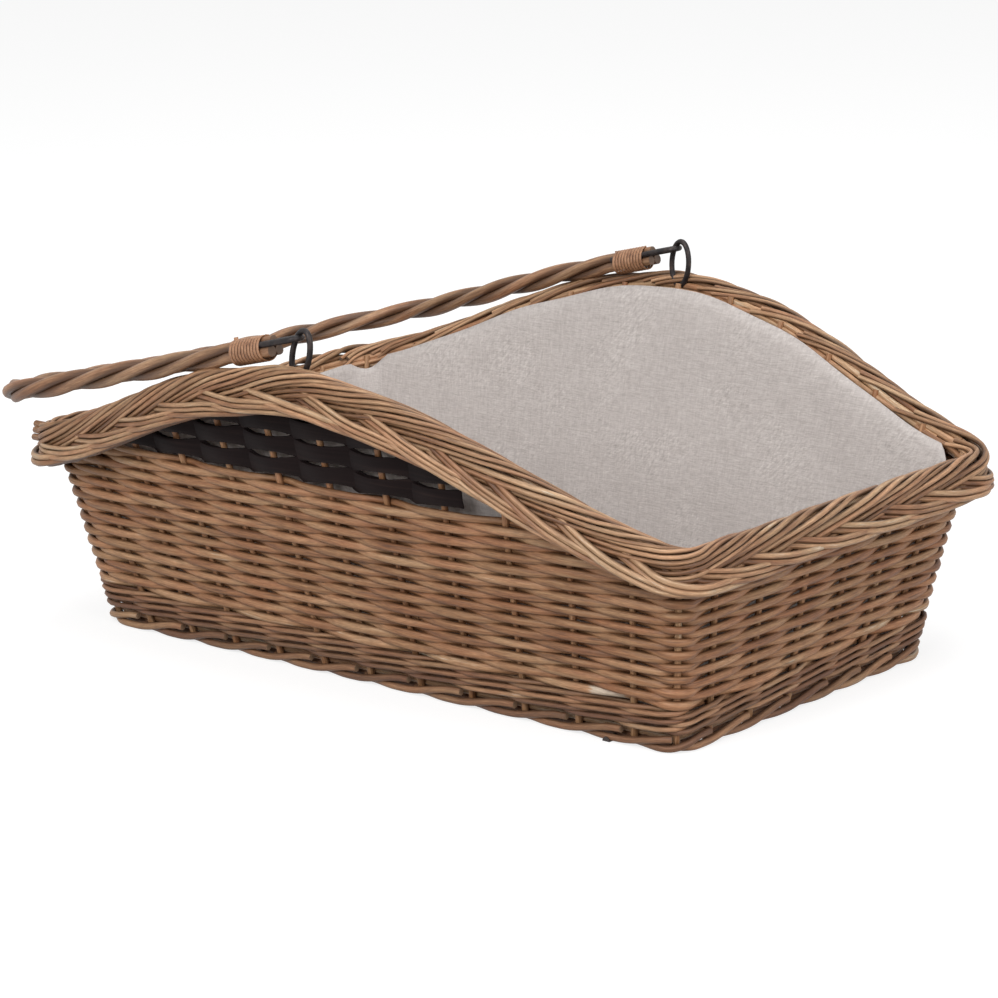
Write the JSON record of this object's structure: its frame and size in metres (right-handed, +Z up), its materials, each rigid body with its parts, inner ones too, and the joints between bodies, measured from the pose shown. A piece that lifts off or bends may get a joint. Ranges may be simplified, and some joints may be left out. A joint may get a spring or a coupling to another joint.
{
  "type": "wicker firewood basket",
  "caption": "Low leaning woven willow basket with humped long sides, plaited border, cloth lining and a twisted swing handle on iron rings, for carrying and keeping logs.",
  "frame": {"origin": "on the floor under the middle of the basket, on the flat underside of the middle base stick", "axes": "+X along the long sides, away from the folded handle, +Z up"},
  "size_m": [0.6459, 0.4654, 0.2629],
  "materials": {
    "willow": "buff willow rods with thin bark colour, satin",
    "dark_willow": "darker steamed willow rods, satin",
    "splint": "flat split wood strips dyed brown-black, satin",
    "cloth": "plain-weave warm grey cloth, matt",
    "cane": "flat cane strip, slightly shiny",
    "iron": "dark oxidised wire"
  },
  "bodies": {
    "basket": {"staked_base": "willow", "foot_border": "dark_willow", "base_stick_1": "dark_willow", "base_stick_2": "dark_willow", "base_stick_3": "dark_willow", "base_stick_4": "dark_willow", "base_stick_5": "dark_willow", "upsett_wale_1": "dark_willow", "upsett_wale_2": "dark_willow", "weave_row_01": "willow", "weave_row_02": "willow", "weave_row_03": "willow", "weave_row_04": "willow", "weave_row_05": "willow", "weave_row_06": "willow", "weave_row_07": "willow", "weave_row_08": "willow", "weave_row_09": "willow", "weave_row_10": "willow", "weave_row_11": "willow", "weave_row_12": "willow", "front_filler_row_1": "willow", "front_filler_row_2": "willow", "back_filler_row_1": "willow", "back_filler_row_2": "willow", "front_splint_1": "splint", "front_splint_2": "splint", "front_splint_3": "splint", "front_splint_4": "splint", "back_splint_1": "splint", "back_splint_2": "splint", "back_splint_3": "splint", "back_splint_4": "splint", "rim_hoop": "willow", "border_strand_1": "willow", "border_strand_2": "willow", "border_strand_3": "willow", "lining": "cloth", "front_ring": "iron", "back_ring": "iron"},
    "handle": {"handle_rod_1": "willow", "handle_rod_2": "willow", "handle_rod_3": "willow", "front_binding": "cane", "back_binding": "cane", "front_eye": "iron", "back_eye": "iron"}
  },
  "joints": [
    {"name": "handle_swing", "type": "hinge", "parent": "basket", "child": "handle", "pos_m": [0, 0, 0.253], "axis": [0, 1, 0], "range_deg": [0, 208.2]}
  ]
}
